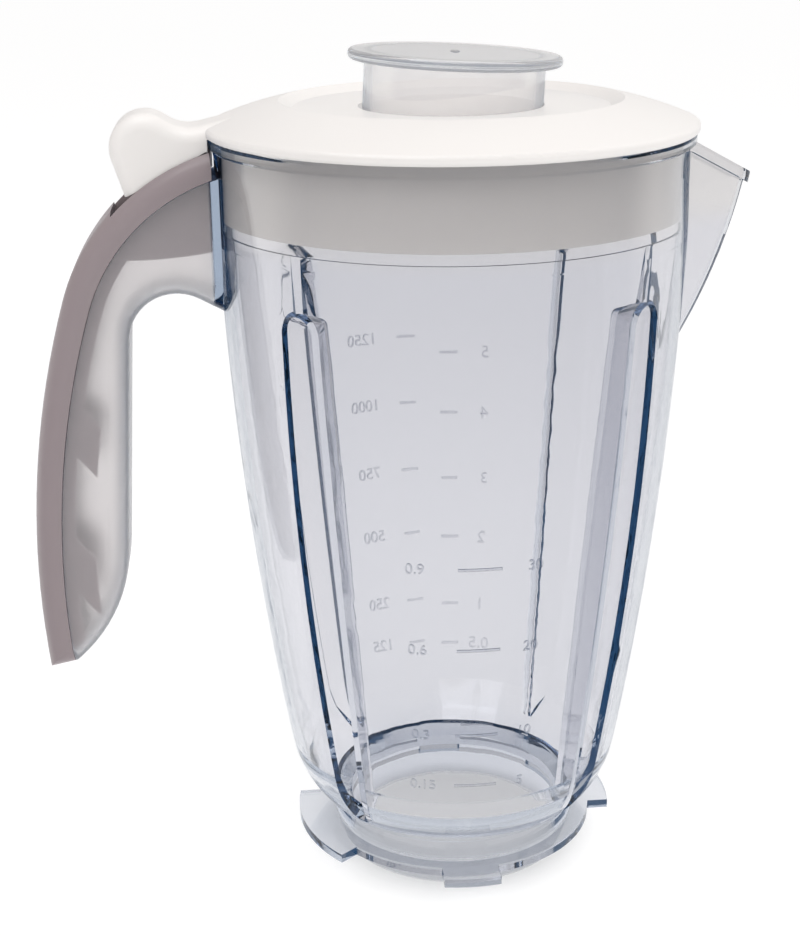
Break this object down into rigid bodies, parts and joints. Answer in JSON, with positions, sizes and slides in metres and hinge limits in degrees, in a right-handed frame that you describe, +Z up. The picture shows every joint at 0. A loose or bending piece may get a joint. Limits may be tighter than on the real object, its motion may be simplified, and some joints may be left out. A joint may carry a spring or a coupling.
{
  "type": "blender jar",
  "caption": "Clear ribbed blender jar with a pouring spout, a free-ended handle with a snapped-on cover, a lid with a thumb tab and a measuring cap.",
  "frame": {"origin": "on the jar's axis at the underside of its foot, in the plane that it stands on", "axes": "+Z up along the jar's axis, -X towards the handle, +X towards the spout"},
  "size_m": [0.2175, 0.1432, 0.2531],
  "materials": {
    "clear_plastic": "clear polished moulding",
    "cover_plastic": "satin warm grey",
    "lid_plastic": "satin white",
    "cap_plastic": "clear polished moulding"
  },
  "bodies": {
    "root": {"jar": "clear_plastic", "handle_cover": "cover_plastic", "lid": "lid_plastic", "measuring_cap": "cap_plastic"}
  },
  "joints": []
}
